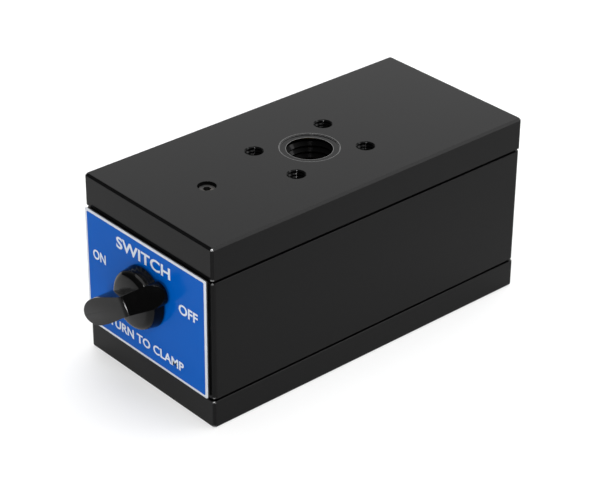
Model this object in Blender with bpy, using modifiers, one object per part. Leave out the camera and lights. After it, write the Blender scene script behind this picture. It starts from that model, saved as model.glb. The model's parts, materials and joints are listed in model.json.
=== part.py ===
"""Switchable magnetic base for workshop gauges, modelled as its separate pieces.

World frame: metres, +Z up, origin at the middle of the face that the block stands on.
The block is long in Y. Its labelled end, with the switch knob, faces -Y.
"""
import math

import bmesh
import bpy

MM = 0.001
GAP = 0.3 * MM

# Block: a foot slab, a middle body of two pole halves and a top slab.
LENGTH = 120.0 * MM
WIDTH = 57.4 * MM
HEIGHT = 58.2 * MM
FOOT_JOINT = 9.2 * MM
TOP_JOINT = 47.55 * MM
EDGE_CHAMFER = 0.7 * MM
BODY_CORNER = 1.5 * MM
FOOT_CORNER = 1.0 * MM
FOOT_CHAMFER = 0.4 * MM
SLOT_EDGE = 0.15 * MM
# A narrow slot runs round each joint: both layers step in before they meet.
SLOT_STEP = 0.25 * MM
SLOT_DEPTH = 1.0 * MM
FOOT_TOP = FOOT_JOINT - GAP / 2
MIDDLE_BOTTOM = FOOT_JOINT + GAP / 2
MIDDLE_TOP = TOP_JOINT - GAP / 2
SLAB_BOTTOM = TOP_JOINT + GAP / 2
FRONT = -LENGTH / 2
BACK = LENGTH / 2

# The two pole halves stand either side of brass spacers and reach down through the foot slab.
POLE_SPLIT = 3.5 * MM
SPACER_HALF = POLE_SPLIT - GAP
WINDOW_INNER = 4.5 * MM
WINDOW_OUTER = 24.0 * MM
WINDOW_HALF_LENGTH = 47.0 * MM

# Holes in the top slab: one large threaded bore, four tapped holes and one sunk screw.
BORE_X = 1.5 * MM
BORE_Y = -1.0 * MM
BORE_RADIUS = 6.9 * MM
BORE_MOUTH = 8.9 * MM
BORE_STEP = 0.4 * MM
TAPPED_X = (-7.2 * MM, 11.4 * MM)
TAPPED_Y = (-14.8 * MM, 12.0 * MM)
TAPPED_RADIUS = 2.5 * MM
TAPPED_MOUTH = 2.9 * MM
TAPPED_DEPTH = 8.5 * MM
TOP_SCREW_X = 0.3 * MM
TOP_SCREW_Y = -38.5 * MM

# Screws that hold the layers and the poles together, each as head radius, thread radius
# and length, and the dowels that line the poles up.
BODY_SCREW = (4.4 * MM, 2.4 * MM, 54.0 * MM)
TIE_SCREW = (4.4 * MM, 2.4 * MM, 46.0 * MM)
TOP_SCREW = (2.5 * MM, 1.4 * MM, 14.0 * MM)
FLANGE_SCREW = (1.7 * MM, 1.0 * MM, 8.0 * MM)
BODY_SCREW_X = 22.5 * MM
BODY_SCREW_Y = 54.5 * MM
TIE_SCREW_Y = 35.0 * MM
TIE_SCREW_Z = 14.3 * MM
DOWEL_Y = 30.0 * MM
DOWEL_Z = 44.9 * MM
DOWEL_RADIUS = 1.2 * MM
DOWEL_REACH = 11.0 * MM

# Switch bore, along Y through both poles. Depths and heights along it are measured outwards
# from the labelled face, so what is inside the block is negative.
AXIS_Z = 31.0 * MM
ROTOR_BORE = 10.4 * MM
FLANGE_RADIUS = 15.0 * MM
FLANGE_POCKET = 3.3 * MM
FLANGE_THICKNESS = 2.8 * MM
FLANGE_SCREW_CIRCLE = 12.3 * MM
FLANGE_SCREW_ANGLES = (30, 150, 210, 330)
PLUG_RADIUS = ROTOR_BORE - GAP
BUSH_END = -8.0 * MM
SHAFT_RADIUS = 3.5 * MM
SHAFT_TIP = 5.4 * MM
SHAFT_HOLE = SHAFT_RADIUS + 0.4 * MM
DRIVE_DISC_FRONT = BUSH_END - GAP
DRIVE_DISC_BACK = DRIVE_DISC_FRONT - 3.0 * MM
ROTOR_RADIUS = 9.8 * MM
ROTOR_FRONT = DRIVE_DISC_BACK - GAP
ROTOR_BACK = -59.0 * MM
WASHER_FRONT = ROTOR_BACK - GAP
WASHER_BACK = WASHER_FRONT - 1.2 * MM
KEEPER_FRONT = WASHER_BACK - GAP
KEEPER_BACK = -LENGTH + FLANGE_POCKET + 0.5 * MM
STOP_CIRCLE = 7.4 * MM
STOP_PIN_RADIUS = 1.0 * MM
STOP_SLOT_DEPTH = 2.8 * MM
DRIVE_CIRCLE = 6.2 * MM
SEAL_POCKET_RADIUS = 6.3 * MM
SEAL_POCKET_DEPTH = 2.6 * MM
MAGNET_PIN_Y = 22.0 * MM
MAGNET_PIN_RADIUS = 1.5 * MM
MAGNET_PIN_REACH = 4.0 * MM

# Label plate on the front face.
LABEL_HALF_WIDTH = 27.3 * MM
LABEL_BOTTOM = 9.9 * MM
LABEL_TOP = 48.1 * MM
LABEL_FACE = 1.2 * MM
LABEL_CORNER = 0.6 * MM

# Switch knob: a round hub with a bar across it. One end of the bar is the lever.
LEVER_ANGLE = 31.0
SWITCH_THROW = 180.0
KNOB_BASE = LABEL_FACE + GAP
HUB_RADIUS = 9.0 * MM
SKIRT_RADIUS = 9.4 * MM
SKIRT_TOP = 2.8 * MM
CREST = 12.0 * MM
LEVER_REACH = 17.0 * MM
LEVER_TIP_LENGTH = 8.0 * MM
LEVER_HALF_WIDTH = 4.1 * MM
ROOT_HALF_WIDTH = 3.8 * MM
LEVER_UNDERSIDE = 5.0 * MM
CREST_END = 5.0 * MM
TAIL_REACH = 12.8 * MM
TAIL_HEIGHT = 2.6 * MM
INSERT_RADIUS = 6.2 * MM
SET_SCREW_RADIUS = 1.2 * MM
SET_SCREW_HEIGHT = 3.9 * MM

ROUND = 48
SMALL = 20


def clear_scene():
    for item in list(bpy.data.objects):
        bpy.data.objects.remove(item, do_unlink=True)


def make_collection(name):
    collection = bpy.data.collections.new(name)
    bpy.context.scene.collection.children.link(collection)
    return collection


def make_material(name, colour, roughness, metallic):
    material = bpy.data.materials.new(name)
    material.use_nodes = True
    shader = material.node_tree.nodes["Principled BSDF"]
    shader.inputs["Base Color"].default_value = (*colour, 1.0)
    shader.inputs["Roughness"].default_value = roughness
    shader.inputs["Metallic"].default_value = metallic
    material.diffuse_color = (*colour, 1.0)
    return material


def as_part(item, name, material, parent=None):
    """Name an object as a sub-part, give it its material and put it with the parts."""
    item.name = name
    item.data.name = name
    item.data.materials.append(material)
    item.parent = parent
    parts.objects.link(item)
    return item


def as_cutter(item, name, parent=None):
    """Hide an object that only shapes others."""
    item.name = name
    item.parent = parent
    item.hide_render = True
    item.display_type = "WIRE"
    cutters.objects.link(item)
    return item


def cut(target, tools, operation="DIFFERENCE"):
    for tool in tools:
        modifier = target.modifiers.new(f"{operation.lower()}_{tool.name}", "BOOLEAN")
        modifier.operation = operation
        modifier.solver = "EXACT"
        modifier.object = tool
    return target


def box(low, high, upright=0.0, upright_steps=1, top=0.0, bottom=0.0):
    """A box between two corners, its location at its middle, its edges bevelled on request."""
    mesh = bpy.data.meshes.new("box")
    sides = [b - a for a, b in zip(low, high)]
    half = sides[2] / 2
    shape = bmesh.new()
    bmesh.ops.create_cube(shape, size=1.0)
    bmesh.ops.scale(shape, vec=sides, verts=shape.verts)
    if upright:
        edges = [e for e in shape.edges if abs(e.verts[0].co.z - e.verts[1].co.z) > half]
        bmesh.ops.bevel(shape, geom=edges, offset=upright, segments=upright_steps,
                        affect="EDGES", profile=0.5)
    for width, level in ((top, half), (bottom, -half)):
        if width:
            edges = [e for e in shape.edges
                     if all(abs(v.co.z - level) < 0.01 * MM for v in e.verts)]
            bmesh.ops.bevel(shape, geom=edges, offset=width, segments=1, affect="EDGES")
    shape.to_mesh(mesh)
    shape.free()
    item = bpy.data.objects.new("box", mesh)
    item.location = [(a + b) / 2 for a, b in zip(low, high)]
    return item


def neck(layer, name, low, high):
    """Join a layer to the inset band by which it meets the next one."""
    x = WIDTH / 2 - SLOT_DEPTH
    y = LENGTH / 2 - SLOT_DEPTH
    band = as_cutter(box((-x, -y, low), (x, y, high)), name)
    cut(layer, [band], "UNION")


def turned(profile, segments=ROUND, closed=False):
    """Turn (radius, height) points about local Z. They run down the outer side."""
    mesh = bpy.data.meshes.new("turned")
    outline = bmesh.new()
    points = [outline.verts.new((radius, 0.0, height)) for radius, height in profile]
    for start, end in zip(points, points[1:]):
        outline.edges.new((start, end))
    if closed:
        outline.edges.new((points[-1], points[0]))
    outline.to_mesh(mesh)
    outline.free()
    item = bpy.data.objects.new("turned", mesh)
    screw = item.modifiers.new("turn", "SCREW")
    screw.axis = "Z"
    screw.angle = math.tau
    screw.steps = segments
    screw.render_steps = segments
    screw.use_merge_vertices = True
    screw.merge_threshold = 0.00001
    return item


def rod(radius, top, bottom, segments=SMALL):
    """A plain round bar about local Z."""
    return turned([(0, top), (radius, top), (radius, bottom), (0, bottom)], segments)


def ring(outer, inner, top, bottom, segments=ROUND):
    """A tube about local Z."""
    points = [(inner, top), (outer, top), (outer, bottom), (inner, bottom)]
    return turned(points, segments, closed=True)


def outline_solid(points, top, bottom):
    """A flat outline in local XY, thickened between two heights, as a mesh."""
    curve = bpy.data.curves.new("outline", "CURVE")
    curve.dimensions = "2D"
    curve.fill_mode = "BOTH"
    curve.extrude = (top - bottom) / 2
    spline = curve.splines.new("POLY")
    spline.points.add(len(points) - 1)
    for point, (x, y) in zip(spline.points, points):
        point.co = (x, y, 0.0, 1.0)
    spline.use_cyclic_u = True
    holder = bpy.data.objects.new("outline", curve)
    bpy.context.scene.collection.objects.link(holder)
    graph = bpy.context.evaluated_depsgraph_get()
    mesh = bpy.data.meshes.new_from_object(holder.evaluated_get(graph))
    bpy.data.objects.remove(holder, do_unlink=True)
    solid = bmesh.new()
    solid.from_mesh(mesh)
    bmesh.ops.remove_doubles(solid, verts=solid.verts, dist=0.00001)
    bmesh.ops.translate(solid, vec=(0, 0, (top + bottom) / 2), verts=solid.verts)
    bmesh.ops.recalc_face_normals(solid, faces=solid.faces)
    solid.to_mesh(mesh)
    solid.free()
    return bpy.data.objects.new("outline_solid", mesh)


def arc(centre, radius, start, end, count):
    """Points along an arc, angles in degrees."""
    angles = [math.radians(start + (end - start) * i / count) for i in range(count + 1)]
    return [(centre[0] + radius * math.cos(a), centre[1] + radius * math.sin(a)) for a in angles]


def place(item, location, rotation=(0, 0, 0)):
    item.location = location
    item.rotation_euler = [math.radians(angle) for angle in rotation]
    return item


def countersunk(name, size, location, rotation=(0, 0, 0), parent=None, sink=0.4 * MM, grip=()):
    """A socket screw with a conical head, and the holes for it in the pieces it grips.

    Local +Z points out of its head. location is on the surface the screw goes into.
    """
    head, thread, length = size
    cone = head - thread
    profile = [(0, -sink), (head, -sink), (head, -sink - 0.2 * MM),
               (thread, -sink - 0.2 * MM - cone), (thread, -length), (0, -length)]
    screw = as_part(turned(profile, SMALL), name, black_oxide, parent)
    place(screw, location, rotation)
    socket = rod(head * 0.5, MM, -sink - cone * 0.8, segments=6)
    cut(screw, [place(as_cutter(socket, name + "_socket", parent), location, rotation)])
    room = GAP + 0.1 * MM
    hole = [(0, MM), (head + GAP, MM), (head + GAP, -sink - 0.2 * MM),
            (thread + room, -sink - 0.2 * MM - cone), (thread + room, -length - GAP),
            (0, -length - GAP)]
    cutter = as_cutter(turned(hole, SMALL), name + "_hole", parent)
    place(cutter, location, rotation)
    for part in grip:
        cut(part, [cutter])
    return screw


def make_top_slab():
    """The top slab, with its threaded bore, four tapped holes and the sunk screw's hole."""
    slab = box((-WIDTH / 2, FRONT, SLAB_BOTTOM + SLOT_STEP), (WIDTH / 2, BACK, HEIGHT),
               upright=EDGE_CHAMFER, top=EDGE_CHAMFER, bottom=SLOT_EDGE)
    as_part(slab, "top_plate", black_paint)
    neck(slab, "top_plate_neck", SLAB_BOTTOM, SLAB_BOTTOM + MM)
    bore = turned([(0, MM), (BORE_MOUTH, MM), (BORE_MOUTH, -BORE_STEP), (BORE_RADIUS, -BORE_STEP),
                   (BORE_RADIUS, SLAB_BOTTOM - HEIGHT - MM), (0, SLAB_BOTTOM - HEIGHT - MM)])
    place(as_cutter(bore, "column_bore"), (BORE_X, BORE_Y, HEIGHT))
    cut(slab, [bore])
    flare = TAPPED_MOUTH - TAPPED_RADIUS
    for column, x in enumerate(TAPPED_X):
        for row, y in enumerate(TAPPED_Y):
            hole = turned([(0, MM), (TAPPED_MOUTH + MM, MM), (TAPPED_RADIUS, -flare),
                           (TAPPED_RADIUS, -TAPPED_DEPTH), (0, -TAPPED_DEPTH - MM)], 28)
            place(as_cutter(hole, f"tapped_hole_{column}{row}"), (x, y, HEIGHT))
            cut(slab, [hole])
    return slab


def make_foot():
    """The non-magnetic foot slab, with a window for each pole."""
    foot = box((-WIDTH / 2, FRONT, 0), (WIDTH / 2, BACK, FOOT_TOP - SLOT_STEP),
               upright=FOOT_CORNER, upright_steps=3, top=SLOT_EDGE, bottom=FOOT_CHAMFER)
    as_part(foot, "foot_plate", black_paint)
    neck(foot, "foot_plate_neck", FOOT_TOP - MM, FOOT_TOP)
    for side, name in ((-1, "left"), (1, "right")):
        inner, outer = sorted((side * WINDOW_INNER, side * WINDOW_OUTER))
        window = box((inner, -WINDOW_HALF_LENGTH, -MM),
                     (outer, WINDOW_HALF_LENGTH, FOOT_TOP + MM))
        cut(foot, [as_cutter(window, f"pole_window_{name}")])
    return foot


def make_pole(side, name):
    """One iron half of the middle body, with the foot that reaches down to the work."""
    pole = box((-WIDTH / 2, FRONT, MIDDLE_BOTTOM + SLOT_STEP),
               (WIDTH / 2, BACK, MIDDLE_TOP - SLOT_STEP),
               upright=BODY_CORNER, upright_steps=3, top=SLOT_EDGE, bottom=SLOT_EDGE)
    as_part(pole, f"pole_{name}", black_paint)
    neck(pole, f"pole_{name}_top_neck", MIDDLE_TOP - MM, MIDDLE_TOP)
    neck(pole, f"pole_{name}_bottom_neck", MIDDLE_BOTTOM, MIDDLE_BOTTOM + MM)
    inner, outer = sorted((side * (WINDOW_INNER + GAP), side * (WINDOW_OUTER - GAP)))
    reach = box((inner, -WINDOW_HALF_LENGTH + GAP, 0),
                (outer, WINDOW_HALF_LENGTH - GAP, MIDDLE_BOTTOM + 2 * MM))
    cut(pole, [as_cutter(reach, f"pole_foot_{name}")], "UNION")
    near, far = sorted((side * POLE_SPLIT, -side * WIDTH))
    other_half = box((near, 2 * FRONT, -MM), (far, 2 * BACK, HEIGHT))
    cut(pole, [as_cutter(other_half, f"far_side_of_{name}")])
    return pole


def make_spacer(low, high, name):
    """A brass strip that keeps the two poles apart magnetically."""
    strip = box((-SPACER_HALF, FRONT + SLOT_DEPTH, low), (SPACER_HALF, BACK - SLOT_EDGE, high))
    return as_part(strip, name, brass)


def bore_block(pieces):
    """Cut the switch bore and a shallow pocket at each end through the middle body."""
    bore = rod(ROTOR_BORE, MM, -LENGTH - MM, ROUND)
    front = rod(FLANGE_RADIUS + GAP, MM, -FLANGE_POCKET, ROUND)
    rear = rod(FLANGE_RADIUS + GAP, -LENGTH + FLANGE_POCKET, -LENGTH - MM, ROUND)
    tools = [as_cutter(bore, "switch_bore", bore_axis),
             as_cutter(front, "front_pocket", bore_axis),
             as_cutter(rear, "rear_pocket", bore_axis)]
    for piece in pieces:
        cut(piece, tools)


def make_bush():
    """The flanged bronze bush that carries the shaft, with an arc slot that limits the throw."""
    front = -GAP
    back = front - FLANGE_THICKNESS
    pocket = front - SEAL_POCKET_DEPTH
    bush = turned([(SEAL_POCKET_RADIUS, front), (FLANGE_RADIUS, front), (FLANGE_RADIUS, back),
                   (PLUG_RADIUS, back), (PLUG_RADIUS, BUSH_END), (SHAFT_HOLE, BUSH_END),
                   (SHAFT_HOLE, pocket), (SEAL_POCKET_RADIUS, pocket)], closed=True)
    as_part(bush, "front_bush", brass, bore_axis)
    reach = STOP_PIN_RADIUS + 2 * GAP
    spare = math.degrees(reach / STOP_CIRCLE) + 2
    start = LEVER_ANGLE - SWITCH_THROW - spare
    end = LEVER_ANGLE + spare
    slot = (arc((0, 0), STOP_CIRCLE + reach, start, end, 24)
            + arc((0, 0), STOP_CIRCLE - reach, end, start, 24))
    tool = outline_solid(slot, BUSH_END + STOP_SLOT_DEPTH, BUSH_END - MM)
    cut(bush, [as_cutter(tool, "stop_slot", bore_axis)])
    return bush


def make_rotor():
    """The turning magnet with its shaft and pins, on the switch axis."""
    shaft = turned([(0, SHAFT_TIP), (SHAFT_RADIUS, SHAFT_TIP), (SHAFT_RADIUS, DRIVE_DISC_FRONT),
                    (ROTOR_RADIUS, DRIVE_DISC_FRONT), (ROTOR_RADIUS, DRIVE_DISC_BACK),
                    (0, DRIVE_DISC_BACK)], 40)
    as_part(shaft, "shaft", steel, switch_axis)
    magnet = as_part(rod(ROTOR_RADIUS, ROTOR_FRONT, ROTOR_BACK, 40), "rotor_magnet",
                     ferrite, switch_axis)
    stop = rod(STOP_PIN_RADIUS, BUSH_END + STOP_SLOT_DEPTH - GAP, DRIVE_DISC_BACK + GAP, 16)
    as_part(stop, "stop_pin", steel, switch_axis)
    stop.location = (STOP_CIRCLE, 0, 0)
    stop_hole = rod(STOP_PIN_RADIUS + GAP, DRIVE_DISC_FRONT + MM, DRIVE_DISC_BACK - MM, 16)
    as_cutter(stop_hole, "stop_pin_hole", switch_axis)
    stop_hole.location = (STOP_CIRCLE, 0, 0)
    cut(shaft, [stop_hole])
    for number, angle in enumerate((90, 270), start=1):
        x = DRIVE_CIRCLE * math.cos(math.radians(angle))
        y = DRIVE_CIRCLE * math.sin(math.radians(angle))
        pin = rod(STOP_PIN_RADIUS, DRIVE_DISC_FRONT - GAP, ROTOR_FRONT - 4 * MM, 16)
        as_part(pin, f"drive_pin_{number}", steel, switch_axis)
        pin.location = (x, y, 0)
        hole = rod(STOP_PIN_RADIUS + GAP, DRIVE_DISC_FRONT + MM, ROTOR_FRONT - 4 * MM - GAP, 16)
        as_cutter(hole, f"drive_pin_hole_{number}", switch_axis)
        hole.location = (x, y, 0)
        cut(shaft, [hole])
        cut(magnet, [hole])


def make_keeper(spacer):
    """What stays still behind the rotor: a washer, the second magnet and the pin that locks it."""
    washer = ring(PLUG_RADIUS, 3 * MM, WASHER_FRONT, WASHER_BACK, 40)
    as_part(washer, "thrust_washer", nylon, bore_axis)
    magnet = rod(PLUG_RADIUS, KEEPER_FRONT, KEEPER_BACK, 40)
    as_part(magnet, "fixed_magnet", ferrite, bore_axis)
    bottom = AXIS_Z - ROTOR_BORE - MAGNET_PIN_REACH
    top = AXIS_Z - ROTOR_BORE + MAGNET_PIN_REACH
    pin = as_part(rod(MAGNET_PIN_RADIUS, top, bottom, 16), "magnet_pin", steel)
    pin.location = (0, MAGNET_PIN_Y, 0)
    hole = as_cutter(rod(MAGNET_PIN_RADIUS + GAP, top + GAP, bottom - GAP, 16),
                     "magnet_pin_hole")
    hole.location = (0, MAGNET_PIN_Y, 0)
    cut(magnet, [hole])
    cut(spacer, [hole])


def make_seal():
    """The rubber ring round the shaft, in the bush's front pocket."""
    section = 0.9 * MM
    middle = (SHAFT_RADIUS + SEAL_POCKET_RADIUS) / 2
    centre = -GAP - SEAL_POCKET_DEPTH / 2
    points = [(middle + section * math.cos(a), centre + section * math.sin(a))
              for a in (-math.tau * i / 10 for i in range(10))]
    as_part(turned(points, 28, closed=True), "shaft_seal", rubber, bore_axis)


def make_rear_cap():
    top = -LENGTH + GAP + FLANGE_THICKNESS
    bottom = -LENGTH + GAP
    edge = 0.3 * MM
    cap = turned([(0, top), (FLANGE_RADIUS, top), (FLANGE_RADIUS, bottom + edge),
                  (FLANGE_RADIUS - edge, bottom), (0, bottom)])
    return as_part(cap, "rear_cap", black_paint, bore_axis)


def flange_screws(flange, name, depth, facing, poles):
    """Four small countersunk screws through a round flange into the poles."""
    for number, angle in enumerate(FLANGE_SCREW_ANGLES, start=1):
        x = FLANGE_SCREW_CIRCLE * math.cos(math.radians(angle))
        y = FLANGE_SCREW_CIRCLE * math.sin(math.radians(angle))
        pole = poles[1] if x > 0 else poles[0]
        countersunk(f"{name}_{number}", FLANGE_SCREW, (x, y, depth), facing, bore_axis,
                    sink=0.2 * MM, grip=(flange, pole))


def make_label():
    """The printed plate on the front face, with a hole for the shaft."""
    x = LABEL_HALF_WIDTH - LABEL_CORNER
    low = LABEL_BOTTOM - AXIS_Z + LABEL_CORNER
    high = LABEL_TOP - AXIS_Z - LABEL_CORNER
    corners = (((x, low), -90), ((x, high), 0), ((-x, high), 90), ((-x, low), 180))
    outline = []
    for centre, start in corners:
        outline += arc(centre, LABEL_CORNER, start, start + 90, 5)
    plate = outline_solid(outline, LABEL_FACE, GAP)
    as_part(plate, "label_plate", label_blue, bore_axis)
    hole = as_cutter(rod(SHAFT_RADIUS + 0.7 * MM, 2 * MM, -MM, 32), "label_hole", bore_axis)
    cut(plate, [hole])


def make_knob():
    """The moulded knob: hub and bar in one piece, with a brass insert and a set screw."""
    dome = 7.0 * MM
    hub = turned([(0, dome), (HUB_RADIUS - 4.2 * MM, dome - 0.2 * MM),
                  (HUB_RADIUS - 1.6 * MM, dome - 0.8 * MM),
                  (HUB_RADIUS - 0.4 * MM, dome - 1.7 * MM), (HUB_RADIUS, dome - 2.8 * MM),
                  (HUB_RADIUS, SKIRT_TOP + 0.5 * MM), (SKIRT_RADIUS, SKIRT_TOP),
                  (SKIRT_RADIUS, KNOB_BASE), (0, KNOB_BASE)])
    as_part(hub, "knob_body", black_plastic, switch_axis)
    stretch = LEVER_TIP_LENGTH / LEVER_HALF_WIDTH
    tip = [(LEVER_TIP_LENGTH - LEVER_REACH + x * stretch, y)
           for x, y in arc((0, 0), LEVER_HALF_WIDTH, 90, 270, 18)]
    tail_radius = ROOT_HALF_WIDTH
    tail = arc((TAIL_REACH - tail_radius, 0), tail_radius, -80, 80, 12)
    bar = outline_solid(tip + tail, CREST, KNOB_BASE + 0.4 * MM)
    as_cutter(bar, "knob_bar", switch_axis)
    slope = math.atan2(CREST - TAIL_HEIGHT, TAIL_REACH - CREST_END)
    size = 30 * MM
    ramp = box((0, -size / 2, 0), (size, size / 2, size))
    as_cutter(ramp, "tail_ramp", switch_axis)
    ramp.location = (CREST_END + size / 2 * (math.cos(slope) + math.sin(slope)), 0,
                     CREST + size / 2 * (math.cos(slope) - math.sin(slope)))
    ramp.rotation_euler = (0, slope, 0)
    clear_of_hub = SKIRT_RADIUS + 0.4 * MM
    under = box((-size, -size / 2, 0), (-clear_of_hub, size / 2, LEVER_UNDERSIDE))
    as_cutter(under, "lever_relief", switch_axis)
    cut(bar, [ramp, under])
    cut(hub, [bar], "UNION")
    insert_top = SHAFT_TIP
    socket = rod(INSERT_RADIUS + GAP, insert_top + GAP, KNOB_BASE - MM, 32)
    cut(hub, [as_cutter(socket, "insert_socket", switch_axis)])
    insert = ring(INSERT_RADIUS, SHAFT_RADIUS + GAP, insert_top, KNOB_BASE + GAP, 32)
    as_part(insert, "knob_insert", brass, switch_axis)
    screw_end = SHAFT_RADIUS + GAP
    screw_head = HUB_RADIUS - 0.5 * MM
    set_screw = as_part(rod(SET_SCREW_RADIUS, screw_head, screw_end, 16), "knob_set_screw",
                        steel, switch_axis)
    place(set_screw, (0, 0, SET_SCREW_HEIGHT), (90, 0, 0))
    socket = rod(SET_SCREW_RADIUS * 0.5, screw_head + MM, screw_head - 1.5 * MM, 6)
    cut(set_screw, [place(as_cutter(socket, "set_screw_socket", switch_axis),
                          (0, 0, SET_SCREW_HEIGHT), (90, 0, 0))])
    hole = as_cutter(rod(SET_SCREW_RADIUS + GAP, HUB_RADIUS + MM, MM, 16), "set_screw_hole",
                     switch_axis)
    place(hole, (0, 0, SET_SCREW_HEIGHT), (90, 0, 0))
    cut(hub, [hole])
    cut(insert, [hole])


def make_fasteners(foot, slab, poles, spacers):
    """Body screws from below, tie screws and dowels across the poles, and the top screw."""
    number = 0
    for pole, x in zip(poles, (-BODY_SCREW_X, BODY_SCREW_X)):
        for y in (-BODY_SCREW_Y, BODY_SCREW_Y):
            number += 1
            countersunk(f"body_screw_{number}", BODY_SCREW, (x, y, 0), (180, 0, 0),
                        grip=(foot, pole, slab))
    for number, y in enumerate((-TIE_SCREW_Y, TIE_SCREW_Y), start=1):
        countersunk(f"tie_screw_{number}", TIE_SCREW, (-WIDTH / 2, y, TIE_SCREW_Z),
                    (0, -90, 0), grip=(*poles, spacers[0]))
    for number, y in enumerate((-DOWEL_Y, DOWEL_Y), start=1):
        pin = rod(DOWEL_RADIUS, DOWEL_REACH, -DOWEL_REACH, 16)
        dowel = as_part(pin, f"dowel_pin_{number}", steel)
        place(dowel, (0, y, DOWEL_Z), (0, 90, 0))
        room = DOWEL_REACH + 0.5 * MM
        hole = as_cutter(rod(DOWEL_RADIUS + GAP, room, -room, 16), f"dowel_hole_{number}")
        place(hole, (0, y, DOWEL_Z), (0, 90, 0))
        for piece in (*poles, spacers[1]):
            cut(piece, [hole])
    countersunk("top_screw", TOP_SCREW, (TOP_SCREW_X, TOP_SCREW_Y, HEIGHT), sink=0.9 * MM,
                grip=(slab, spacers[1]))


def make_axis(name, turn):
    """An empty on the labelled face, its local Z along the switch bore and out of the block."""
    axis = bpy.data.objects.new(name, None)
    axis.location = (0, FRONT, AXIS_Z)
    axis.rotation_euler = (math.radians(90), math.radians(-turn), 0)
    parts.objects.link(axis)
    return axis


clear_scene()
parts = make_collection("magnetic_base")
cutters = make_collection("cutters")
black_paint = make_material("black_paint", (0.012, 0.012, 0.013), 0.22, 0.0)
black_plastic = make_material("black_plastic", (0.010, 0.010, 0.010), 0.18, 0.0)
label_blue = make_material("label_blue", (0.016, 0.110, 0.420), 0.30, 0.0)
brass = make_material("brass", (0.60, 0.42, 0.16), 0.35, 1.0)
steel = make_material("steel", (0.42, 0.42, 0.43), 0.35, 1.0)
black_oxide = make_material("black_oxide", (0.045, 0.044, 0.043), 0.40, 0.8)
ferrite = make_material("ferrite", (0.035, 0.034, 0.036), 0.60, 0.2)
rubber = make_material("rubber", (0.015, 0.015, 0.015), 0.80, 0.0)
nylon = make_material("nylon", (0.75, 0.73, 0.66), 0.50, 0.0)
bore_axis = make_axis("bore_axis", 0)
switch_axis = make_axis("switch_axis", LEVER_ANGLE)

top_slab = make_top_slab()
foot_slab = make_foot()
pole_halves = (make_pole(-1, "left"), make_pole(1, "right"))
spacer_strips = (make_spacer(MIDDLE_BOTTOM, AXIS_Z - 6 * MM, "spacer_lower"),
                 make_spacer(AXIS_Z + 6 * MM, MIDDLE_TOP, "spacer_upper"))
bore_block((*pole_halves, *spacer_strips))
make_fasteners(foot_slab, top_slab, pole_halves, spacer_strips)
front_bush = make_bush()
flange_screws(front_bush, "bush_screw", -GAP, (0, 0, 0), pole_halves)
rear_cap = make_rear_cap()
flange_screws(rear_cap, "cap_screw", -LENGTH + GAP, (180, 0, 0), pole_halves)
make_seal()
make_rotor()
make_keeper(spacer_strips[0])
make_label()
make_knob()
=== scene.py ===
# %% [markdown]
# # A switchable magnetic base
#
# This lesson dresses a workshop magnet: a black enamelled block that holds a dial indicator on a
# steel table. It is made of a foot, two iron poles and a top slab. A blue label on one end carries
# the knob that turns a magnet inside. The working model is loaded first, as a fixed frame. Every
# cell after it makes one piece or one finish, and hangs it on that frame.

# %% Load the working model
import json
import math

import bmesh
import bpy
from mathutils import Matrix, Vector


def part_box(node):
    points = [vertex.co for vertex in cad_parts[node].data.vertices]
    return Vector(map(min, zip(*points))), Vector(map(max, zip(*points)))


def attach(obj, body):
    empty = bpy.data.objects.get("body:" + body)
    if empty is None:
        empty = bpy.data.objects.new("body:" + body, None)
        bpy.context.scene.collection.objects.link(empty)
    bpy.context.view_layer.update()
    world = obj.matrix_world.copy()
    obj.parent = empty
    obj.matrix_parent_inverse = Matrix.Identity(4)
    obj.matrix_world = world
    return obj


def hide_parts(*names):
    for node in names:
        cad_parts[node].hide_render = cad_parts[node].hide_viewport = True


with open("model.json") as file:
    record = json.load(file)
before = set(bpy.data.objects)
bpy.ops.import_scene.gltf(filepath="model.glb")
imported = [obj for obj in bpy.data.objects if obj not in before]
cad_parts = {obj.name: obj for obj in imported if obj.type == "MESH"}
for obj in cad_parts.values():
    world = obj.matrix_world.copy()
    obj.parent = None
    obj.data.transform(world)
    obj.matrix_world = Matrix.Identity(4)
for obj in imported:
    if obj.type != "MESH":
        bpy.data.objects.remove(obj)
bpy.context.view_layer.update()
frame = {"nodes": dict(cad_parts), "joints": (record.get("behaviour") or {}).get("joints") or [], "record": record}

# %% [markdown]
# ## Sizes come from the frame
#
# Every place below is worked out from the boxes of the loaded pieces, so nothing needs fitting
# afterwards. The switch turns on its joint's own axis, which runs straight out of the label.

# %% Measure the block
MM = 0.001
slab_low, slab_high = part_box("top_plate")
foot_low, foot_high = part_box("foot_plate")
label_low, label_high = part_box("label_plate")
knob_low, knob_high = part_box("knob_body")
block_low = Vector((foot_low.x, foot_low.y, foot_low.z))
block_high = Vector((foot_high.x, foot_high.y, slab_high.z))
switch = next(joint for joint in frame["joints"] if joint["name"] == "switch_turn")
axis_x, _, axis_z = switch["pos_m"]
label_face = label_low.y
print("block in mm:", [round(side / MM, 1) for side in block_high - block_low])

# %% [markdown]
# ## A notation for node trees
#
# A node tree is arithmetic drawn as boxes. Here it is written as arithmetic instead: a `Field` is
# one socket, and adding or multiplying fields adds the Math nodes.

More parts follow.
